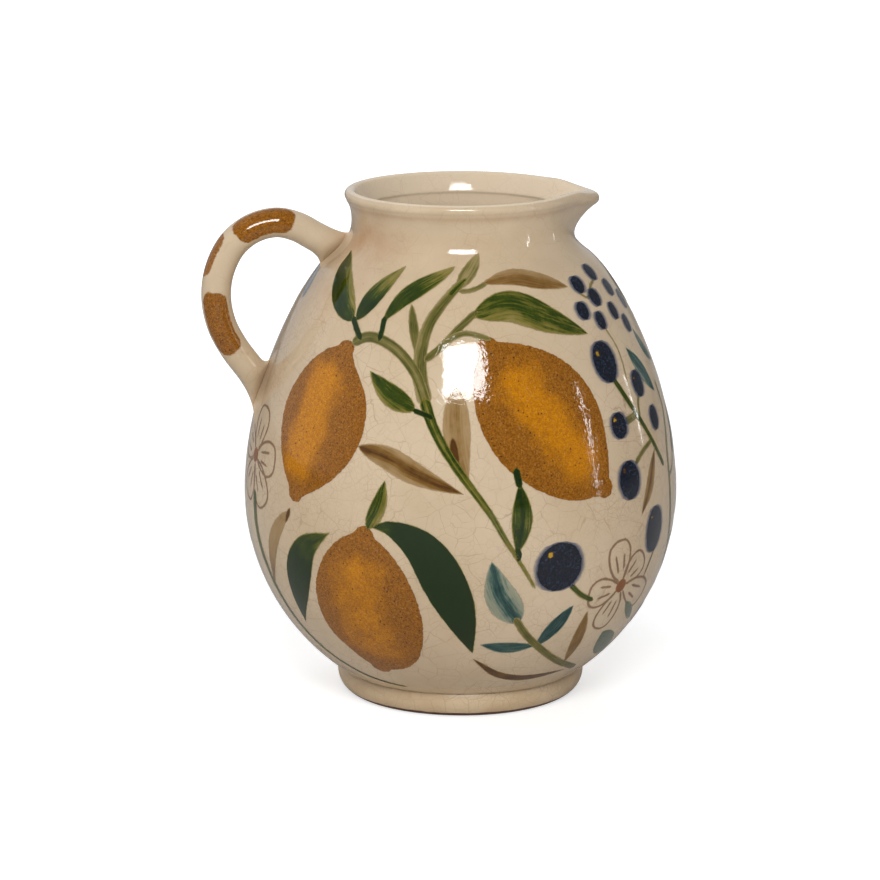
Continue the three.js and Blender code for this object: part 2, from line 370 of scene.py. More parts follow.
def glaze_shader(tree, where, colour, grit=None, crack_strength=1.0, gloss=0.035, alpha=None):
    """The clear glaze over everything: crackle, a slightly wavy surface and a wet gloss."""
    widest = crackle(tree, where, 0.0105, 0.0002, 1.9)
    coarse = crackle(tree, where, 0.0052, 0.00018, 3.1)
    fine = crackle(tree, where, 0.0028, 0.00015, 7.7)
    patchy = ranged(tree, noise(tree, where, 22, 2), 0.38, 0.66, 0.1, 1)
    finer = times(tree, fine, times(tree, patchy, 0.7))
    gaps = ranged(tree, noise(tree, where, 90, 2), 0.36, 0.6, 0.15, 0.75)
    broken = times(tree, coarse, gaps)
    cracks = maths(tree, "MAXIMUM", maths(tree, "MAXIMUM", widest, broken), finer)
    height_here = add(tree, "SeparateXYZ", {0: where}).outputs[2]
    lower_down = ranged(tree, height_here, 0.16, 0.212, 1, 0.4)
    stained = ranged(tree, noise(tree, where, 60, 3), 0.3, 0.7, 0.14, 0.5)
    visible = times(tree, lower_down, stained)
    shown = times(tree, cracks, visible)
    cracked = blend(tree, times(tree, shown, crack_strength), colour, CRACK_COLOUR)
    ripples = times(tree, noise(tree, where, 300, 2), 0.3)
    waves = plus(tree, noise(tree, where, 45, 2), ripples)
    relief = maths(tree, "SUBTRACT", waves, times(tree, cracks, 0.05))
    if grit is not None:
        relief = plus(tree, relief, grit)
    bump = add(tree, "Bump", {"Height": relief, "Distance": 0.00035, "Strength": 0.35}).outputs[0]
    roughness = plus(tree, gloss, times(tree, noise(tree, where, 35, 3), 0.03))
    inputs = {"Base Color": cracked, "Roughness": roughness, "Normal": bump, "IOR": 1.5}
    if alpha is not None:
        inputs["Alpha"] = alpha
    surface = add(tree, "BsdfPrincipled", inputs)
    add(tree, "OutputMaterial", {"Surface": surface.outputs[0]})


def new_material(name):
    """An empty material, its node tree, and places in the row's frame for its nodes."""
    material = bpy.data.materials.new(name)
    material.use_nodes = True
    tree = material.node_tree
    tree.nodes.clear()
    return material, tree, object_place(tree)


def cream_colour(tree, where):
    """Cream glaze, a little warmer and darker where it has run together and where shade is painted, and
    paler inside as painted light.
    """
    drift = ranged(tree, noise(tree, where, 14, 4, 0.6), 0.3, 0.7)
    cream = blend(tree, drift, tone(191, 169, 139), tone(204, 184, 156))
    pooled_and_painted_shading = painted_value(tree, "pooling_and_painted_shading")
    # Painted light: where the value is negative, inside the pot, the cream is made paler.
    cream_with_painted_light = blend(tree, times(tree, pooled_and_painted_shading, -1), cream, tone(232, 214, 188))
    drifts = ranged(tree, noise(tree, where, 70, 4, 0.65), 0.25, 0.7, 0.45, 1)
    # Warm glaze where it ran together, and painted shade under the rim bead and at the handle's roots.
    warm = blend(tree, times(tree, pooled_and_painted_shading, drifts), cream_with_painted_light, tone(160, 112, 66))
    specks = add(tree, "TexVoronoi", {"Vector": where, "Scale": 95.0}).outputs["Distance"]
    rare = ranged(tree, noise(tree, where, 41, 2), 0.6, 0.68)
    dots = times(tree, ranged(tree, specks, 0.03, 0.055, 0.7, 0), rare)
    return blend(tree, dots, warm, tone(92, 66, 44))


def cream_glaze():
    material, tree, where = new_material("cream_crackle_glaze")
    glaze_shader(tree, where, cream_colour(tree, where))
    return material


def lemon_paint(tree, where, richness):
    """Gritty ochre paint. richness is 0 on the brown rim and 1 along the yellow middle."""
    grain = noise(tree, where, 1700, 2, 0.7)
    clumps = noise(tree, where, 900, 3, 0.7)
    patch = noise(tree, where, 110, 4, 0.6)
    mottle = plus(tree, times(tree, grain, 0.55), times(tree, clumps, 0.45))
    grains = ranged(tree, mottle, 0.36, 0.64)
    brown = blend(tree, grains, tone(104, 60, 0), tone(156, 98, 20))
    yellow = blend(tree, grains, tone(158, 94, 0), tone(200, 130, 0))
    mixed = plus(tree, richness, swing(tree, patch, 0.8))
    colour = blend(tree, ranged(tree, mixed, 0.15, 0.95), brown, yellow)
    pale = ranged(tree, noise(tree, where, 1100, 2, 0.7), 0.58, 0.7, 0, 0.38)
    dusted = blend(tree, pale, colour, tone(196, 146, 84))
    pits = add(tree, "TexVoronoi", {"Vector": where, "Scale": 400.0}).outputs["Distance"]
    dark = times(tree, ranged(tree, pits, 0.1, 0.22, 0.9, 0),
                 ranged(tree, noise(tree, where, 240, 2), 0.46, 0.56))
    ripples = noise(tree, where, 400, 1)
    grit = plus(tree, times(tree, grain, 0.03), times(tree, ripples, 0.55))
    return blend(tree, dark, dusted, tone(52, 30, 10)), grit


def handle_glaze():
    """Cream glaze with dabs of the lemons' paint; dab is millimetres inside a dab's edge."""
    material, tree, where = new_material("handle_glaze_with_dabs")
    paint, grit = lemon_paint(tree, where, 0.1)
    ragged = swing(tree, noise(tree, where, 520, 3, 0.7), 2.0)
    inside = ranged(tree, plus(tree, painted_value(tree, "dab"), ragged), -0.2, 0.7)
    colour = blend(tree, inside, cream_colour(tree, where), paint)
    glaze_shader(tree, where, colour, grit=times(tree, grit, inside), crack_strength=0.6)
    return material


def foot_glaze():
    """Thin warm glaze, and bare dark clay where the glaze was wiped off the resting edge."""
    material, tree, where = new_material("foot_glaze_and_bare_clay")
    drift = ranged(tree, noise(tree, where, 60, 4), 0.3, 0.7)
    colour = blend(tree, drift, tone(197, 171, 136), tone(210, 188, 155))
    edge = plus(tree, painted_value(tree, "bare"), swing(tree, noise(tree, where, 150, 3), 0.7))
    bare = ranged(tree, edge, 0.35, 0.6)
    clay = blend(tree, noise(tree, where, 300, 3), tone(74, 46, 32), tone(118, 80, 58))
    dullness = plus(tree, 0.3, times(tree, bare, 0.4))
    glaze_shader(tree, where, blend(tree, bare, colour, clay), gloss=dullness)
    return material


# ---- The pot ----

def wall_pooling_and_painted_shade(points):
    """How much warm glaze has gathered in the neck's hollow, most of all beside the handle, plus painted
    shade under the rim bead and at the handle's lower root.
    """
    x, y, height = (points[..., axis] for axis in range(3))
    angle = np.degrees(np.arctan2(x - AXIS_X, -y))
    beside_handle = np.exp(-((np.abs(angle + 90) - 22) / 20) ** 2)
    hollow = np.exp(-((height - 221) / 9) ** 2)
    # under_bead is a painted shadow line below the rim bead. lower_root is painted shade where the handle's
    # lower root meets the wall, with some gathered glaze.
    under_bead = np.exp(-((height - 233.5) / 1.6) ** 2)
    shoulder = 0.3 * beside_handle * np.exp(-((height - 200) / 16) ** 2)
    lower_root = 0.15 * np.exp(-((angle + 90) / 14) ** 2 - ((height - 152) / 24) ** 2)
    return np.clip(hollow * (0.05 + 0.65 * beside_handle) + 0.22 * under_bead + shoulder + lower_root, 0, 1)


def pot_patch(line, shares):
    points = pot_grid(line, shares)
    return {"points": points, "normals": grid_normals(points), "closed": True,
            "values": {"pooling_and_painted_shading": wall_pooling_and_painted_shade(points)}}


def cut_rows(patch, first, last):
    """Some rows of a patch, with the normals of the whole, so that a seam doesn't show."""
    kept = slice(first, last)
    return {"points": patch["points"][kept], "normals": patch["normals"][kept], "closed": True,
            "values": {key: value[kept] for key, value in patch["values"].items()}}


def build_pot():
    cream = cream_glaze()
    bead = rim_bead()
    rows = np.vstack([outer_wall, neck_wall[1:], bead, inner_neck, inner_wall[1:]])
    outside = len(outer_wall) + len(neck_wall) - 1
    inside = len(rows) - outside - len(bead)
    bead_shares = np.linspace(1, INNER_SPOUT_SHARE, len(bead))
    shares = np.concatenate([np.ones(outside), bead_shares, np.full(inside, INNER_SPOUT_SHARE)])
    whole = pot_patch(rows, shares)
    inner_start = outside + len(bead) // 2
    # Painted light: the inside gets a negative value, so its cream is coloured paler.
    whole["values"]["pooling_and_painted_shading"][inner_start:] = INNER_PAINTED_LIGHT
    neck_end = outside + len(bead) + len(inner_neck)
    seam_row = len(outer_wall) - 1
    underside_line = np.array([(0.5, FLOOR_UNDERSIDE), (20, FLOOR_UNDERSIDE), (40, FLOOR_UNDERSIDE),
                               (42, FOOT_TOP), (50, FOOT_TOP), tuple(outer_wall[0])])
    underside = pot_patch(underside_line, np.zeros(len(underside_line)))
    underside["values"]["pooling_and_painted_shading"][:] = UNDERSIDE_POOLING
    body = make_piece("glazed_body", [
        cut_rows(whole, 0, seam_row + 1),
        cut_rows(whole, neck_end - 1, len(rows)),
        underside,
    ], cream)
    neck = make_piece("glazed_neck_and_spout", [cut_rows(whole, seam_row, neck_end)], cream)
    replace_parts(body, "body")
    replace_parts(neck, "neck_and_spout")


def build_foot():
    side = np.vstack([
        [(42, FOOT_TOP), (43.5, 1.5), (45, 0), (48.5, 0), (52.5, 0)],
        bezier((52.5, 0), (58.2, 0.8), (60, 9.5), (57.4, FOOT_TOP), 20),
        [(56.4, FOOT_TOP + 0.3)],
    ])
    patch = pot_patch(side, np.zeros(len(side)))
    height = patch["points"][..., 2]
    radius = np.broadcast_to(side[:, :1], height.shape)
    patch["values"] = {"bare": np.where(radius < 52.6, 1, np.clip(2.0 - height / 1.5, 0, 1))}
    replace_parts(make_piece("glazed_foot_ring", [patch], foot_glaze()), "foot_ring")


# ---- Handle ----

HANDLE_SIDES = 48
ROOT_RINGS = 16
DAB_CORNER = 5.0  # the radius of a dab's corners
DABS = [  # where a dab starts and ends along the handle, which way round it faces, its half width
    (26, 52.5, 24, 7.2), (55, 74, 82, 4.8), (79, 109, 15, 6.8), (32, 56, 156, 6.6), (84, 108, 168, 7.0),
]
OFF_DABS = -9.0  # the inset of a point far from any dab


def meet_wall(starts, direction):
    """Where straight lines from the handle's end first meet the wall."""
    points = starts.copy()
    for _ in range(400):
        outside = np.hypot(points[:, 0] - AXIS_X, points[:, 1]) > wall_radius(points[:, 2])
        points += 0.1 * outside[:, None] * direction
    return points


def wall_place(height, sideways):
    """Points just inside the wall by the handle, by height and distance from the middle plane."""
    turn = np.degrees(np.arcsin(sideways / wall_radius(height)))
    return place(wall_radius(height) - GLAZE_DEPTH, -90 - turn, height)


def handle_rings():
    """Rings of points along the handle, from its upper root on the neck to its lower root."""
    line = smooth_path(HANDLE_LINE, 10)
    centres = np.stack([AXIS_X - line[:, 0], np.zeros(len(line)), line[:, 1]], 1)
    tangents = np.gradient(centres, axis=0)
    tangents /= np.linalg.norm(tangents, axis=1, keepdims=True)
    sideways = np.array([0.0, -1.0, 0.0])
    outwards = np.cross(tangents, sideways)
    turns = np.linspace(0, 2 * np.pi, HANDLE_SIDES, endpoint=False)
    across, out = np.cos(turns), np.sin(turns)
    section = (across[None, :, None] * HANDLE_WIDTH / 2 * sideways
               + out[None, :, None] * HANDLE_THICKNESS / 2 * outwards[:, None, :])
    tube = centres[:, None, :] + section
    upper = root_rings(tube[0], across, out * np.sign(outwards[0, 2]), -tangents[0], UPPER_ROOT)
    lower = root_rings(tube[-1], across, out * np.sign(outwards[-1, 2]), tangents[-1], LOWER_ROOT)
    return np.vstack([upper[::-1][:-1], tube, lower[1:]]), len(upper) - 1, turns


def root_rings(section, across, up, direction, spread):
    """Rings that lead the handle's section straight on and then out along the wall."""
    corners = meet_wall(section, direction)
    heights = (spread["top"] + spread["bottom"]) / 2 + (spread["top"] - spread["bottom"]) / 2 * up
    landings = wall_place(heights, spread["half_width"] * across)
    rings = []
    for t in np.linspace(0, 1, ROOT_RINGS + 1):
        rings.append((1 - t) ** 2 * section + 2 * (1 - t) * t * corners + t ** 2 * landings)
    return np.array(rings)


def dab_insets(rings, turns):
    """Millimetres inside the nearest dab of paint, negative outside, for each point of the handle."""
    middles = rings.mean(axis=1)
    along = np.concatenate([[0], np.cumsum(np.linalg.norm(np.diff(middles, axis=0), axis=1))])[:, None]
    inset = np.full((len(rings), len(turns)), OFF_DABS)
    for start, end, facing, half_width in DABS:
        turned = (np.degrees(turns)[None, :] - facing + 180) % 360 - 180
        side = np.radians(turned) * HANDLE_THICKNESS / 2
        past_end = np.maximum(np.abs(along - (start + end) / 2) - (end - start) / 2 + DAB_CORNER, 0)
        past_side = np.maximum(np.abs(side) - half_width + DAB_CORNER, 0)
        inset = np.maximum(inset, DAB_CORNER - np.hypot(past_end, past_side))
    return inset


def build_handle():
    rings, root_count, turns = handle_rings()
    normals = grid_normals(rings)
    radial = rings - rings.mean(axis=1, keepdims=True)
    facing_out = np.sign((normals * radial).sum(axis=(1, 2)).sum())
    ring_number = np.arange(len(rings))
    to_end = np.minimum(ring_number, ring_number[::-1])[:, None] / root_count
    # The handle's ends are painted warmer and darker towards the wall: painted shade where it meets the
    # pot, with some glaze gathered there.
    at_wall = np.clip(1 - to_end, 0, 1) ** 2
    patch = {
        "points": rings,
        "normals": normals * facing_out,
        "closed": True,
        "values": {"pooling_and_painted_shading": 0.2 * at_wall, "dab": dab_insets(rings, turns)},
    }
    handle = make_piece("glazed_handle", [patch], handle_glaze())
    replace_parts(handle, "handle_loop", "upper_handle_root", "lower_handle_root")


# ---- Painted decoration ----
# Every mark is a thin skin that lies just over the glaze. Its mesh reaches a margin past the
# mark's outline, and the paint's shader fades it there, so that edges are as ragged as a brush's.

LEAF_MARGIN = 0.9
STEM_MARGIN = 0.6
BERRY_MARGIN = 2.6  # wide enough for a berry's halo
NO_DOT = -9.0  # how far inside an ochre dot a berry without one is
PETAL_LINE = {"half_width": 0.72, "margin": 0.4}
HEART = {"half_width": 3.6, "margin": 0.8}
FLOWER_LAYER, HEART_LAYER, LEMON_LAYER, BERRY_LAYER = 2, 4, 6, 12
SKIN_LIFT = 0.04  # how far the lowest skins lie over the glaze
SKIN_STEP = 0.012  # and how much further each layer above them does
STEM_OVERRUN = 0.7  # a stem runs on past its path's ends by this share of its half width
NUB_HALF_WIDTH = 4.6
NUB_ROUNDING = 4.0
NUB_SHARE = 0.045  # the share of a lemon's length that is only its nub, at each end
LEAF, BLADE, STEM, LEMON, OVAL = "leaf", "blade", "stem", "lemon", "oval"


def wall_point(angle, length, lift=0.0):
    """The painted surface, by angle and distance up the wall."""
    height = height_at(length)
    drawn, lowered = spout_shift(wall_radius(height), height, 1, angle)
    return place(drawn + hand_thrown(angle, height) + lift, angle, lowered)


def wall_normal(angle, length):
    step = 0.25
    along = wall_point(angle + step, length) - wall_point(angle - step, length)
    up = wall_point(angle, length + step) - wall_point(angle, length - step)
    normal = np.cross(along, up)
    return normal / np.linalg.norm(normal, axis=-1, keepdims=True)


def half_widths(kind, t, length, half_width, fullness):
    """A mark's half width at shares t of its length."""
    if kind == STEM:
        rounded_end = np.sqrt(np.minimum(t, 1 - t) * length / half_width)
        return half_width * (1 - (1 - fullness) * t) * np.minimum(1, rounded_end)
    if kind == OVAL:
        return half_width * np.sqrt(np.clip(1 - (2 * t - 1) ** 2, 0, 1))
    if kind == BLADE:
        return half_width * np.sin(np.pi * t) ** fullness
    if kind == LEAF:
        return half_width * np.sin(np.pi * t ** 0.75) ** fullness
    from_end = np.minimum(t, 1 - t) * length
    nub_width = NUB_HALF_WIDTH * np.sqrt(1 - np.clip(1 - from_end / NUB_ROUNDING, 0, 1) ** 2)
    body = np.clip((t - NUB_SHARE) / (1 - 2 * NUB_SHARE), 0, 1)
    return (nub_width ** 5 + (half_width * np.sin(np.pi * body) ** fullness) ** 5) ** 0.2


def distance_inside(along, across, line):
    """Millimetres inside an outline that is symmetric about its middle, negative outside."""
    x, y = along.ravel()[:, None], np.abs(across).ravel()[:, None]
    start, step = line[:-1], np.diff(line, axis=0)
    square = np.maximum((step ** 2).sum(1), 1e-9)
    t = np.clip(((x - start[:, 0]) * step[:, 0] + (y - start[:, 1]) * step[:, 1]) / square, 0, 1)
    distance = np.hypot(x - start[:, 0] - t * step[:, 0], y - start[:, 1] - t * step[:, 1]).min(1)
    under_line = y[:, 0] < np.interp(x[:, 0], line[:, 0], line[:, 1])
    within = under_line & (x[:, 0] > 0) & (x[:, 0] < line[-1, 0])
    return np.where(within, distance, -distance).reshape(along.shape)


def run_on(step):
    """A step of about one millimetre along the wall, in the direction of a longer one."""
    return step / np.hypot(np.radians(step[0]) * BELLY_RADIUS * 0.9, step[1])


def brush_mark(path, half_width, kind, fullness, margin, layer, seed, wash, turn, rise):
    """A mark along a path of (angle, height) points, as a patch for make_piece."""
    places = np.array([(angle + turn, length_at(height + rise)) for angle, height in path], float)
    if kind == STEM:
        places[0] += STEM_OVERRUN * half_width * run_on(places[0] - places[1])
        places[-1] += STEM_OVERRUN * half_width * run_on(places[-1] - places[-2])
    scale = np.radians(np.mean(wall_radius(height_at(places[:, 1]))))
    flat = places * [scale, 1]
    curve = smooth_path(flat, 12) if len(places) > 2 else np.linspace(*flat, 14)
    curve /= [scale, 1]
    radii = wall_radius(height_at(curve[:, 1]))
    span_scale = np.radians((radii[1:] + radii[:-1]) / 2)
    flat_steps = np.diff(curve, axis=0) * np.stack([span_scale, np.ones(len(span_scale))], 1)
    travelled = np.concatenate([[0], np.cumsum(np.hypot(*flat_steps.T))])
    total = travelled[-1]
    rows = max(7, int(total / 1.5))
    columns = max(5, int(2 * (half_width + margin) / 1.4) | 1)
    along = np.concatenate([[-margin], np.linspace(0, total, rows), [total + margin]])
    t = np.clip(along / total, 0, 1)
    middle = np.stack([np.interp(along, travelled, curve[:, axis]) for axis in (0, 1)], 1)
    stations = np.clip(along, -1e-4, total + 1e-4)
    heading = np.stack([np.gradient(middle[:, axis], stations) for axis in (0, 1)], 1)
    heading[0], heading[-1] = heading[1], heading[-2]
    middle[0] -= heading[0] * margin
    middle[-1] += heading[-1] * margin
    heading *= np.stack([np.radians(wall_radius(height_at(middle[:, 1]))), np.ones(len(middle))], 1)
    heading /= np.linalg.norm(heading, axis=1, keepdims=True)
    widths = half_widths(kind, t, total, half_width, fullness)
    widths[[0, -1]] = 0
    across = np.linspace(-1, 1, columns)[None, :] * (widths + margin)[:, None]
    lengths = middle[:, 1:] + heading[:, :1] * across
    mean_radius = (wall_radius(height_at(middle[:, 1:])) + wall_radius(height_at(lengths))) / 2
    angles = middle[:, :1] - np.degrees(heading[:, 1:] * across / mean_radius)
    samples = np.linspace(0, 1, 70)
    line = np.stack([samples * total, half_widths(kind, samples, total, half_width, fullness)], 1)
    along_grid = np.broadcast_to(along[:, None], across.shape)
    inset = distance_inside(along_grid, across, line)
    side = across / half_width
    if callable(wash):
        wash = wash(side, t[:, None])
    values = {"inset": inset, "side": side, "along": along_grid, "seed": seed, "wash": wash}
    return {"points": wall_point(angles, lengths, SKIN_LIFT + SKIN_STEP * layer),
            "normals": wall_normal(angles, lengths), "values": values}


def brushed_place(tree, along_scale, side_scale):
    """A place that is stretched along the mark, so that noise in it makes a brush's streaks."""
    along = times(tree, painted_value(tree, "along"), along_scale)
    side = times(tree, painted_value(tree, "side"), side_scale)
    return add(tree, "CombineXYZ", {0: along, 1: side, 2: painted_value(tree, "seed")}).outputs[0]


def ragged_alpha(tree, where, roughness, soft):
    """1 inside a mark and 0 outside, along an uneven edge. Sizes in millimetres."""
    wobble = swing(tree, noise(tree, where, 420, 3, 0.65), roughness)
    return ranged(tree, plus(tree, painted_value(tree, "inset"), wobble), -soft, soft)


def brush_paint(name, dark, middle, light, streakiness=1.3):
    """Thin glaze paint laid on with a brush, darker where the brush left more of it."""
    material, tree, where = new_material(name)
    streaks = noise(tree, brushed_place(tree, 0.04, 3.2), 2.0, 4, 0.6)
    pools = noise(tree, where, 130, 3, 0.6)
    uneven = plus(tree, swing(tree, streaks, streakiness, 0.46), swing(tree, pools, 0.6))
    fringe = ranged(tree, painted_value(tree, "inset"), -0.2, 0.8, 0.9, 0)
    wash = painted_value(tree, "wash")
    streaked = times(tree, uneven, ranged(tree, wash, -0.05, 0.25, 0.45, 1))
    thin = plus(tree, plus(tree, wash, streaked), fringe)
    colour = ramp(tree, thin, [(0.12, tone(*dark)), (0.5, tone(*middle)), (0.92, tone(*light))])
    cover = ranged(tree, thin, 0.35, 1.35, 0.97, 0.55)
    alpha = times(tree, ragged_alpha(tree, where, 1.1, 0.28), cover)
    glaze_shader(tree, where, colour, crack_strength=0.15, alpha=alpha)
    return material


def lemon_material():
    material, tree, where = new_material("lemon_gritty_ochre")
    streaks = noise(tree, brushed_place(tree, 0.03, 2.2), 1.5, 4, 0.6)
    richness = plus(tree, painted_value(tree, "wash"), swing(tree, streaks, 0.75))
    paint, grit = lemon_paint(tree, where, richness)
    alpha = ragged_alpha(tree, where, 1.5, 0.2)
    glaze_shader(tree, where, paint, grit=grit, crack_strength=0.1, gloss=0.03, alpha=alpha)
    return material


def berry_material():
    """Navy paint that has bled a blue halo into the glaze, with an ochre dot near the top."""
    material, tree, where = new_material("berry_navy")
    mottle = ranged(tree, noise(tree, where, 900, 3, 0.7), 0.46, 0.74)
    navy = blend(tree, mottle, tone(4, 10, 22), tone(44, 58, 82))
    streaks = ranged(tree, noise(tree, where, 150, 3), 0.35, 0.7, 0, 0.6)
    body = blend(tree, streaks, navy, tone(10, 18, 34))
    wobble = swing(tree, noise(tree, where, 500, 3, 0.7), 1.3)
    inset = plus(tree, painted_value(tree, "inset"), wobble)
    inside = ranged(tree, inset, -0.5, 0.5)
    colour = blend(tree, inside, tone(68, 86, 118), body)
    dot = plus(tree, painted_value(tree, "dot"), times(tree, wobble, 0.25))
    ringed = blend(tree, ranged(tree, dot, -0.5, -0.1), colour, tone(70, 44, 18))
    dotted = blend(tree, ranged(tree, dot, 0.0, 0.3), ringed, tone(176, 136, 34))
    halo = ranged(tree, inset, -2.5, 0.3, 0, 0.7)
    glaze_shader(tree, where, dotted, crack_strength=0.15, alpha=maths(tree, "MAXIMUM", halo, inside))
    return material


def centre_stroke(edge, middle, spread):
    """A wash that is heavier along the middle of a mark."""
    return lambda side, t: edge + (middle - edge) * np.exp(-(side / spread) ** 2)


def pale_side(dark, light, towards):
    """A wash that fades towards one side: towards is 1 or -1."""
    return lambda side, t: dark + (light - dark) * np.clip(side * towards * 1.3, 0, 1)


def pale_tip(dark, light, start):
    """A wash that fades towards the tip, from a share of the length on."""
    return lambda side, t: dark + (light - dark) * np.clip((t - start) / 0.4, 0, 1)


def pale_base(dark, light, end):
    """A wash that is paler at the base, up to a share of the length."""
    return lambda side, t: dark + (light - dark) * np.clip((end - t) / 0.4, 0, 1)


def yellow_middle(offset, spread, strength):
    """How yellow a lemon is: along a band beside its middle line, from near one end to the other."""
    return lambda side, t: (strength * np.exp(-((side - offset) / spread) ** 2)
                            * np.clip(np.minimum(t - 0.08, 0.95 - t) / 0.16, 0, 1) - 0.1)


LEMONS = {  # path from end to end, half width, fullness, where the yellow band lies
    "left": ([(-48, 180.5), (-51, 168), (-53.2, 144), (-57, 118), (-58.8, 106.5)], 25.8, 0.68,
             yellow_middle(-0.16, 0.45, 1.25)),
    "right": ([(-3.5, 184.5), (4, 169), (14, 148), (23.8, 126.5), (31.8, 112)], 28.4, 0.62,
              yellow_middle(0.05, 0.5, 1.0)),
    "low": ([(-35, 101.5), (-36, 88), (-37.2, 62), (-37, 38), (-40, 24.5)], 27, 0.52,
            yellow_middle(-0.1, 0.65, 0.8)),
}

GREEN_LEAVES = [  # path from base to tip, half width, fullness, wash
    (LEAF, [(-50, 188.5), (-58.5, 197), (-67, 206), (-76.5, 214.5)], 6.6, 0.75, pale_side(0.12, 0.8, -1)),
    (LEAF, [(-48.5, 189), (-44.5, 200), (-36, 212.5)], 4.8, 0.8, pale_tip(0.15, 0.75, 0.3)),
    (BLADE, [(-38, 190), (-31.5, 200.5), (-13, 213)], 4.6, 0.7, pale_tip(0.25, 0.8, 0.45)),
    (LEAF, [(-6, 194), (8, 197), (22, 190), (36, 182)], 8.2, 0.8, pale_side(0.42, 0.8, -1)),
    (LEAF, [(-23, 154), (-31, 160), (-38.5, 169)], 5.2, 0.85, pale_side(0.38, 0.75, 1)),
    (BLADE, [(5, 123), (5.4, 106), (4, 89)], 5.0, 1.0, centre_stroke(0.35, 0.05, 0.2)),
    (BLADE, [(-34, 101.5), (-28.2, 101.3), (-20, 92.8), (-12.8, 70), (-6.5, 39.5)], 10.2, 1.0,
     pale_base(0.0, 0.3, 0.28)),
    (LEAF, [(-34.5, 100), (-31.5, 111), (-30, 123)], 4.0, 0.8, pale_side(0.4, 0.9, -1)),
    (BLADE, [(-64.5, 45), (-61.5, 60), (-58.5, 74), (-54, 86.5), (-45.5, 96)], 8.4, 1.1,
     pale_tip(0.0, 0.45, 0.5)),
]

OLIVE_LEAVES = [
    (BLADE, [(-23.5, 176), (-26, 187), (-28.5, 198)], 2.3, 0.6, 0.35),
    (LEAF, [(-11, 205), (-7, 210.5), (-1.5, 218.5)], 3.6, 0.6, centre_stroke(0.4, 0.85, 0.5)),
]

BROWN_LEAVES = [
    (BLADE, [(-2, 206.5), (12, 208.5), (24, 206), (36, 202)], 5.2, 0.8, pale_side(0.45, 0.85, 1)),
    (LEAF, [(-38.5, 136.5), (-29.5, 132.5), (-22, 126.5), (-9.5, 118)], 5.6, 0.9,
     centre_stroke(0.8, 0.15, 0.45)),
    (LEAF, [(-11.5, 164), (-11.5, 149), (-10.5, 134), (-8.5, 120)], 6.2, 0.8,
     centre_stroke(0.85, 0.6, 0.4)),
    (LEAF, [(-12.5, 143), (-12, 137), (-10.5, 128)], 2.0, 0.8, 0.0),
    (BLADE, [(-6.5, 36.5), (2.8, 26), (13, 22), (33, 22.3)], 2.6, 0.7, 0.15),
    (LEAF, [(-61, 101), (-68, 86), (-74.5, 61)], 4.2, 0.8, pale_tip(0.8, 0.25, 0.55)),
    (LEAF, [(-60, 103), (-61, 99), (-62, 95)], 1.4, 0.8, 0.0),
    (BLADE, [(53.5, 126), (50.5, 117.5), (48.3, 110), (43.8, 98.5)], 3.4, 0.8,
     centre_stroke(0.7, 0.2, 0.4)),
    (BLADE, [(28.5, 28), (28, 43), (27.5, 57)], 3.6, 0.8, 0.45),
]

TEAL_LEAVES = [
    (LEAF, [(6, 55.5), (0, 71), (-2.5, 87)], 7.6, 0.8, centre_stroke(0.9, 0.2, 0.4)),
    (BLADE, [(13, 41), (17, 50), (22, 61.5)], 4.2, 0.8, 0.15),
    (BLADE, [(13, 42), (4, 42), (-4.5, 44.5)], 3.6, 0.8, 0.3),
    (BLADE, [(64, 149), (59.5, 158), (53, 172)], 4.8, 0.8, pale_side(0.3, 0.7, 1)),
    (BLADE, [(75, 160.5), (69.8, 165.5), (66.8, 171), (65, 178)], 3.6, 0.8, 0.5),
]

SAGE_LEAVES = [
    (BLADE, [(54, 26), (46, 33), (39, 42)], 6.8, 0.7, 0.25),
    (BLADE, [(54, 43), (50, 48), (44, 56)], 2.8, 0.7, 0.4),
]

GREY_LEAVES = [
    (LEAF, [(-88, 191), (-93, 199), (-98, 207)], 4.6, 0.8, 0.3),
    (BLADE, [(-98, 91), (-96.5, 81), (-93, 70)], 4.0, 0.8, 0.2),
]

OLIVE_STEMS = [  # path, half width at the start, the share of it left at the end, wash
    (STEM, [(-20.5, 158), (-22.7, 171), (-22.7, 182), (-20.5, 192), (-14.5, 202), (-9.5, 207.5)],
     3.7, 0.55, pale_side(0.3, 0.8, 1)),
    (STEM, [(-46.5, 180), (-42, 183), (-36, 182), (-29.5, 177.5), (-23.5, 168.5), (-20, 157)],
     2.7, 0.9, centre_stroke(0.2, 0.6, 0.4)),
    (STEM, [(-21, 175.5), (-16, 181.5), (-11, 188.5), (-5, 195)], 1.9, 0.9, 0.35),
    (STEM, [(-15.5, 183), (-9, 186.5), (-1, 184)], 1.7, 0.8, 0.45),
    (STEM, [(-11, 203.5), (-6, 204), (0, 206.5)], 1.3, 1.0, 0.5),
    (STEM, [(42, 142), (47, 143.5)], 2.0, 0.9, 0.4),
    (STEM, [(43, 123), (47, 127), (52, 130)], 1.4, 0.9, 0.4),
    (STEM, [(51, 151), (49.5, 147), (49, 142)], 1.0, 0.9, 0.4),
    (STEM, [(54, 202), (49, 200), (44, 196), (40, 199)], 0.9, 0.8, 0.5),
    (STEM, [(5, 57.5), (9, 48.5), (14, 41), (24, 30.5), (38, 22)], 1.9, 1.1, 0.4),
    (STEM, [(45.5, 183), (48, 173), (47.5, 161), (46.5, 152)], 0.7, 0.8, 0.7),
]

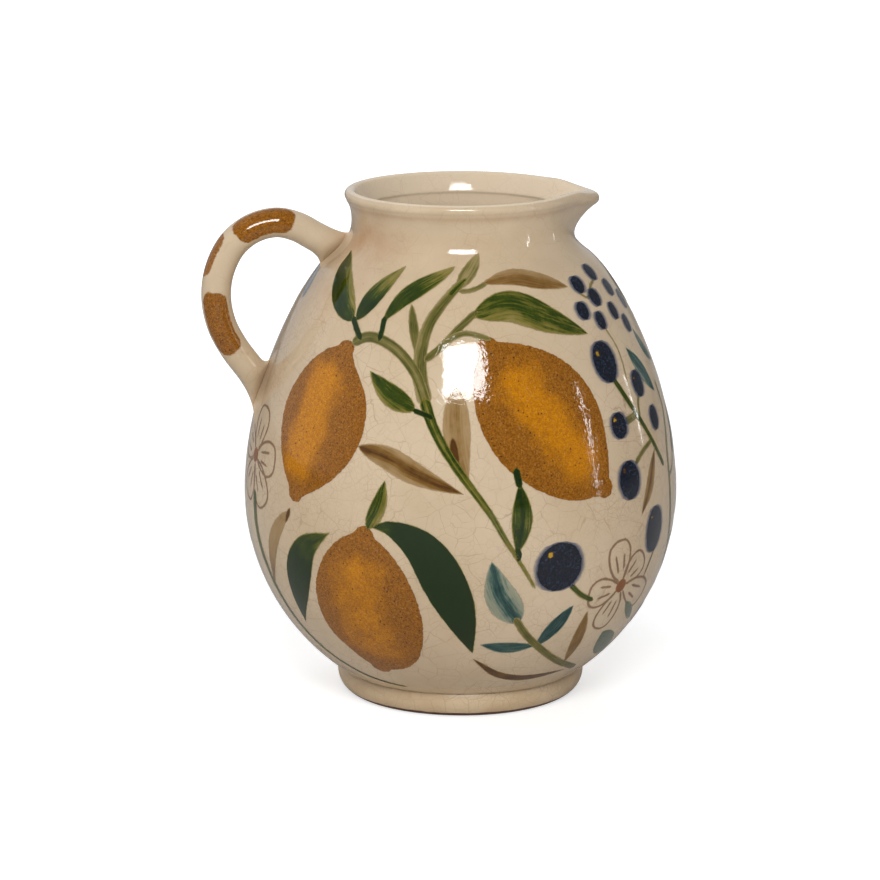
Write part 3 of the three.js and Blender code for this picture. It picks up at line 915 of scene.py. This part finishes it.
GREEN_STEMS = [
    (STEM, [(-20.5, 158), (-18, 148), (-15, 139), (-11.3, 129.5), (-3, 109.5), (1, 97), (4, 88.5), (9, 74)],
     2.7, 0.3, centre_stroke(0.2, 0.7, 0.4)),
    (STEM, [(-50, 190), (-47.5, 186), (-44.5, 182)], 1.5, 0.9, -0.1),
    (STEM, [(-37.5, 191.5), (-37.4, 187), (-37.5, 182.5)], 1.4, 0.9, -0.1),
    (STEM, [(-14.5, 202), (-11.5, 205.5), (-8, 208.5)], 1.4, 0.5, 0.3),
    (STEM, [(-79.5, 103), (-79, 86), (-76.5, 68), (-71, 43), (-64, 29.5), (-52.5, 20), (-42, 16.5),
            (-34, 15.5)], 2.3, 0.5, 0.4),
    (STEM, [(20, 72), (24, 66), (28, 62.5)], 1.5, 0.9, 0.4),
    (STEM, [(41, 161), (45, 150), (49, 140), (58, 117)], 1.7, 0.9, 0.35),
    (STEM, [(-18, 151), (-20.5, 152.5), (-23.5, 154)], 1.2, 1.0, -0.1),
    (STEM, [(4, 92), (4.6, 89.5), (4.4, 87.5)], 1.5, 0.8, -0.2),
    (STEM, [(4.2, 128), (4.9, 121)], 1.8, 0.9, -0.1),
    (STEM, [(52.5, 79), (50.8, 72.5), (49.5, 66.5)], 0.8, 0.6, 0.4),
]

BERRIES = [  # angle, height, half width, half height, size of the ochre dot
    (16, 82, 11.4, 11.9, 1.5), (39.5, 169, 7.6, 9.2, 1.3), (38.5, 141, 5.3, 6.0, 1.3),
    (39.5, 116, 7.2, 9.0, 1.0), (51, 89, 7.6, 11.2, 0.9), (52.8, 156, 4.8, 6.1, 0.9),
    (57.5, 139, 4.4, 5.8, 0.8),
    (56, 205, 3.8, 3.5, 0), (42, 202, 4.0, 3.7, 0), (48, 195.5, 4.0, 3.9, 0), (37.8, 191.5, 3.8, 4.0, 0),
    (45, 186, 3.4, 4.0, 0), (63, 197, 3.9, 3.8, 0), (56, 188, 3.4, 3.9, 0), (62, 181, 3.3, 4.1, 0),
    (71, 190, 3.5, 4.4, 0),
]

SPRIG_STEMS = [  # a sprig between the berries and the next flower, under the spout and the handle
    (STEM, [(78, 21), (74, 42), (69, 62), (65.5, 79), (63.3, 92), (62.5, 105), (62.8, 120),
            (65.5, 131), (68, 141), (67.5, 152)], 2.1, 0.6, 0.4),
    (STEM, [(66.3, 76), (71, 80), (74, 86)], 1.2, 0.7, 0.35),
    (STEM, [(62.6, 110), (67, 113), (70, 119)], 1.1, 0.7, 0.35),
]

SPRIG_LEAVES = [
    (BLADE, [(73.7, 85), (78, 94), (78.5, 108)], 4.6, 0.8, pale_side(0.15, 0.65, 1)),
    (LEAF, [(69.7, 118), (74.5, 127), (75, 141)], 4.4, 0.8, centre_stroke(0.2, 0.6, 0.2)),
    (BLADE, [(72.5, 47), (79, 54), (82.5, 67)], 4.8, 0.8, 0.3),
    (BLADE, [(75.5, 34), (69, 38), (63, 48)], 4.4, 0.8, pale_side(0.2, 0.6, -1)),
]

SPOUT_STEMS = [  # another sprig on the shoulder, under the spout
    (STEM, [(82, 146), (84, 158), (88, 170), (87, 186)], 1.5, 0.6, 0.4),
    (STEM, [(88, 176), (84.5, 180), (82.5, 186)], 1.0, 0.8, 0.4),
]

SPOUT_LEAVES = [
    (BLADE, [(82.6, 185), (80, 192), (79.5, 202)], 4.0, 0.8, pale_side(0.2, 0.7, 1)),
    (BLADE, [(87, 166), (94, 171), (97, 182)], 4.6, 0.8, centre_stroke(0.25, 0.65, 0.2)),
    (LEAF, [(87, 184), (89, 193), (94, 202)], 4.4, 0.8, pale_tip(0.2, 0.7, 0.4)),
]

FLOWERS = [  # centre, petal tips, petal half width
    ((38.5, 66), [(34.5, 89), (46.5, 78.5), (53.5, 55.5), (35, 45), (26.5, 64.5)], 6.8),
    ((-81.5, 120), [(-80, 143), (-68.5, 121.5), (-73, 99), (-87, 99), (-94, 127)], 7.6),
]

LEAVES_AND_STEMS = [  # piece, its rows, its lowest layer, its paint
    ("green_leaves", GREEN_LEAVES, 7, "green"),
    ("olive_leaves", OLIVE_LEAVES, 4, "olive"),
    ("brown_leaves", BROWN_LEAVES, 2, "brown"),
    ("teal_leaves", TEAL_LEAVES, 4, "teal"),
    ("sage_leaves", SAGE_LEAVES, 4, "sage"),
    ("grey_leaf", GREY_LEAVES, 4, "grey"),
    ("olive_stems", OLIVE_STEMS, 8, "olive"),
    ("green_stems", GREEN_STEMS, 10, "green"),
    ("sprig_stems", SPRIG_STEMS, 8, "olive"),
    ("sprig_leaves", SPRIG_LEAVES, 10, "green"),
]

BRUSH_PAINTS = {  # material, colours where it is thick, in between and thin, and how streaky it is
    "green": ("leaf_dark_green", (14, 38, 0), (54, 68, 2), (136, 124, 50)),
    "olive": ("leaf_olive", (62, 64, 22), (102, 96, 46), (156, 140, 90)),
    "brown": ("leaf_brown", (78, 48, 12), (124, 90, 42), (172, 142, 96), 0.8),
    "teal": ("leaf_teal", (18, 52, 52), (58, 88, 80), (150, 156, 134)),
    "sage": ("leaf_sage", (70, 88, 70), (96, 106, 84), (150, 146, 118)),
    "grey": ("leaf_blue_grey", (84, 88, 98), (116, 118, 122), (160, 156, 148)),
    "flower": ("flower_line_brown", (112, 80, 54), (132, 100, 74), (158, 128, 100)),
    "heart": ("flower_heart_ochre", (126, 74, 34), (146, 92, 48), (168, 122, 80)),
}


def marks(rows, layer, turn, rise):
    """Marks from a table's rows, on four layers in turn, so that neighbours don't share a surface."""
    patches = []
    for index, (kind, path, half_width, fullness, wash) in enumerate(rows):
        margin = STEM_MARGIN if kind == STEM else LEAF_MARGIN
        seed = 3.7 * index + layer + turn
        patches.append(brush_mark(path, half_width, kind, fullness, margin, layer + index % 4, seed, wash,
                                  turn, rise))
    return patches


def berry_mark(angle, height, half_width, half_height, dot_size, layer, seed, turn, rise):
    path = [(angle, height - half_height), (angle, height), (angle, height + half_height)]
    patch = brush_mark(path, half_width, OVAL, 1, BERRY_MARGIN, layer, seed, 0, turn, rise)
    values = patch["values"]
    up = values["along"] - half_height
    across = values["side"] * half_width
    from_dot = np.hypot(across - 0.45 * half_width, up - 0.55 * half_height)
    values["dot"] = dot_size - from_dot if dot_size else NO_DOT
    return patch


def petal_lines(centre, tip, half_width):
    """The drawn outline of a petal and the two short strokes inside it, as (angle, height) paths."""
    scale = np.array([np.radians(wall_radius((centre[1] + tip[1]) / 2)), 1])
    middle, end = np.array(centre) * scale, np.array(tip) * scale
    length = np.linalg.norm(end - middle)
    ahead = (end - middle) / length
    aside = np.array([ahead[1], -ahead[0]])

    def at(share, sideways):
        return tuple((middle + share * length * ahead + sideways * half_width * aside) / scale)

    outline = [at(0.12, -0.25), at(0.34, -0.8), at(0.66, -1.05), at(0.92, -0.8), at(1.0, -0.1),
               at(0.93, 0.75), at(0.7, 1.05), at(0.36, 0.72), at(0.13, 0.25)]
    return [outline, [at(0.34, -0.3), at(0.72, -0.4)], [at(0.36, 0.24), at(0.66, 0.42)]]


def flower_marks(turn, rise):
    patches = []
    for centre, tips, half_width in FLOWERS:
        for number, tip in enumerate(tips):
            for path in petal_lines(centre, tip, half_width):
                patches.append(brush_mark(path, PETAL_LINE["half_width"], STEM, 0.9, PETAL_LINE["margin"],
                                          FLOWER_LAYER, number, 0.3, turn, rise))
    return patches


def flower_heart(centre, turn, rise):
    """The blot of ochre in the middle of a flower."""
    angle, height = centre
    path = [(angle, height - HEART["half_width"]), centre, (angle, height + HEART["half_width"])]
    return brush_mark(path, HEART["half_width"], OVAL, 1, HEART["margin"], HEART_LAYER, 1, 0.1, turn, rise)


def paint_side(name, turn, rise, paints):
    """All the marks of one side of the pot; turn and rise move them from the front's places."""
    for key, (path, half_width, fullness, wash) in LEMONS.items():
        patch = brush_mark(path, half_width, LEMON, fullness, LEAF_MARGIN, LEMON_LAYER,
                           turn + half_width, wash, turn, rise)
        make_piece(f"painted_lemon_{key}_{name}", [patch], paints["lemon"])
    for piece, rows, layer, paint in LEAVES_AND_STEMS:
        make_piece(f"painted_{piece}_{name}", marks(rows, layer, turn, rise), paints[paint])
    berries = [berry_mark(*berry, BERRY_LAYER + index % 3, index, turn, rise)
               for index, berry in enumerate(BERRIES)]
    make_piece(f"painted_berries_{name}", berries, paints["berry"])
    make_piece(f"painted_flowers_{name}", flower_marks(turn, rise), paints["flower"])
    hearts = [flower_heart(centre, turn, rise) for centre, _, _ in FLOWERS]
    make_piece(f"painted_flower_hearts_{name}", hearts, paints["heart"])


def paint_pot():
    paints = {"lemon": lemon_material(), "berry": berry_material()}
    for key, row in BRUSH_PAINTS.items():
        paints[key] = brush_paint(*row)
    paint_side("front", 0, 0, paints)
    paint_side("back", 180, -2, paints)
    make_piece("painted_spout_stems", marks(SPOUT_STEMS, 8, 0, 0), paints["olive"])
    make_piece("painted_spout_leaves", marks(SPOUT_LEAVES, 10, 0, 0), paints["green"])


build_pot()
build_foot()
build_handle()
paint_pot()

# ---- Floor, light and camera ----

VIEW_AZIMUTH = -10
VIEW_ELEVATION = 13.1
VIEW_DISTANCE = 1.7
SENSOR_WIDTH = 36
FOCAL_LENGTH = 147.3
FLOOR_REACH = 12


def direction_to(azimuth, elevation):
    """From the pot outwards. Azimuth 0 is towards -Y and 90 towards +X."""
    a, e = math.radians(azimuth), math.radians(elevation)
    return Vector((math.sin(a) * math.cos(e), -math.cos(a) * math.cos(e), math.sin(e)))


TARGET = Vector((0, 0, POT_HEIGHT * MM / 2))


def aim(made, azimuth, elevation, distance):
    """Puts a camera or a lamp where it looks at the middle of the pot from a direction."""
    back = direction_to(azimuth, elevation)
    made.location = TARGET + distance * back
    made.rotation_euler = (-back).to_track_quat("-Z", "Y").to_euler()


def add_camera():
    data = bpy.data.cameras.new("camera")
    data.sensor_width = SENSOR_WIDTH
    data.lens = FOCAL_LENGTH
    camera = new_object("camera", data)
    aim(camera, VIEW_AZIMUTH, VIEW_ELEVATION, VIEW_DISTANCE)
    bpy.context.scene.camera = camera


def add_softbox(name, azimuth, elevation, distance, width, height, watts, mirrored=True):
    data = bpy.data.lights.new(name, "AREA")
    data.shape = "RECTANGLE"
    data.size = width
    data.size_y = height
    data.energy = watts
    lamp = new_object(name, data)
    lamp.visible_glossy = mirrored
    aim(lamp, azimuth, elevation, distance)


def add_world():
    """White where the camera sees it, and dimmer where it lights the pot and mirrors in the glaze."""
    world = bpy.data.worlds.new("studio")
    world.use_nodes = True
    tree = world.node_tree
    tree.nodes.clear()
    direction = add(tree, "TexCoord", {}).outputs["Generated"]
    behind_left = add(tree, "VectorMath", {0: direction, 1: (-0.6, 0.8, 0)},
                      operation="DOT_PRODUCT").outputs["Value"]
    strength = ranged(tree, behind_left, -0.2, 0.85, 0.2, 0.62)
    lit = add(tree, "Background", {"Color": (0.95, 0.97, 1.0, 1), "Strength": strength})
    seen = add(tree, "Background", {"Color": (1, 1, 1, 1), "Strength": 1.0})
    from_camera = add(tree, "LightPath", {}).outputs["Is Camera Ray"]
    mixed = add(tree, "MixShader", {0: from_camera, 1: lit.outputs[0], 2: seen.outputs[0]})
    add(tree, "OutputWorld", {"Surface": mixed.outputs[0]})
    bpy.context.scene.world = world


def add_floor():
    """Bright where the camera sees it, pale where it lights the pot and dimmer where it mirrors."""
    mesh = bpy.data.meshes.new("floor")
    corners = [(x * FLOOR_REACH, y * FLOOR_REACH, 0) for x, y in ((-1, -1), (1, -1), (1, 1), (-1, 1))]
    mesh.from_pydata(corners, [], [(0, 1, 2, 3)])
    material, tree, where = new_material("pale_floor")
    ray = add(tree, "LightPath", {}).outputs
    away = add(tree, "VectorMath", {0: where}, operation="LENGTH").outputs["Value"]
    glow = times(tree, ray["Is Camera Ray"], ranged(tree, away, 0.1, 1.6, 0.62, 0.95))
    bounced = blend(tree, ray["Is Diffuse Ray"], (0.6, 0.6, 0.6, 1), (0.8, 0.78, 0.76, 1))
    pale = blend(tree, ray["Is Glossy Ray"], bounced, (0.45, 0.44, 0.43, 1))
    white = (1, 1, 1, 1)
    surface = add(tree, "BsdfPrincipled", {"Base Color": pale, "Roughness": 0.9, "Emission Color": white,
                                           "Emission Strength": glow})
    add(tree, "OutputMaterial", {"Surface": surface.outputs[0]})
    mesh.materials.append(material)
    new_object("floor", mesh)


add_camera()
add_world()
add_floor()
add_softbox("softbox_front", -8, 36.4, 1.6, 0.66, 0.385, 16.8)
add_softbox("strip_right", 64, 9, 1.5, 0.025, 0.66, 0.9)
add_softbox("strip_far_right", 102, 6, 1.5, 0.02, 0.3, 0.25)
add_softbox("fill_left", -95, 48, 1.7, 1.0, 1.0, 6.3, mirrored=False)
add_softbox("fill_back", 150, 40, 1.8, 1.0, 1.0, 7, mirrored=False)
bpy.context.scene.view_settings.view_transform = "Standard"
